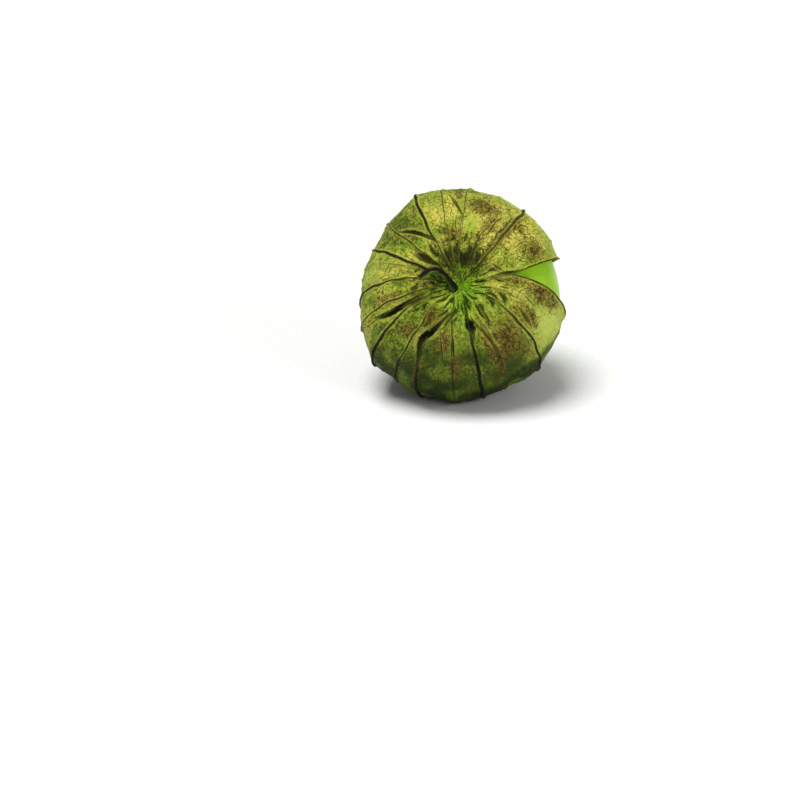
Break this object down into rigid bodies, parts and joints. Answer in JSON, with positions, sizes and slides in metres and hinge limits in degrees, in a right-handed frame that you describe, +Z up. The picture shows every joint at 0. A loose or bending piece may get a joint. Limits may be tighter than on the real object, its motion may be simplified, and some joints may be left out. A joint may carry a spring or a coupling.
{
  "type": "tomatillo",
  "caption": "Ripe tomatillo lying on its side in a ribbed papery husk, torn open along one side to show the green berry, with a short curved stalk.",
  "frame": {"origin": "on the surface the tomatillo rests on, under the middle of its box and inside the flattened spot of its husk", "axes": "+Z up; the stalk end faces -Y and is raised 30 degrees above the level; the husk's torn side faces +X"},
  "size_m": [0.0546, 0.0524, 0.0536],
  "materials": {
    "berry": "smooth, slightly sticky green skin with a soft gloss",
    "husk": "dry, papery yellow-green calyx with dark veins and brown mottles, matte",
    "stalk": "dry fibrous stalk, dark purple above and green below, matte"
  },
  "bodies": {
    "root": {"berry": "berry", "husk": "husk", "stalk": "stalk"}
  },
  "joints": []
}
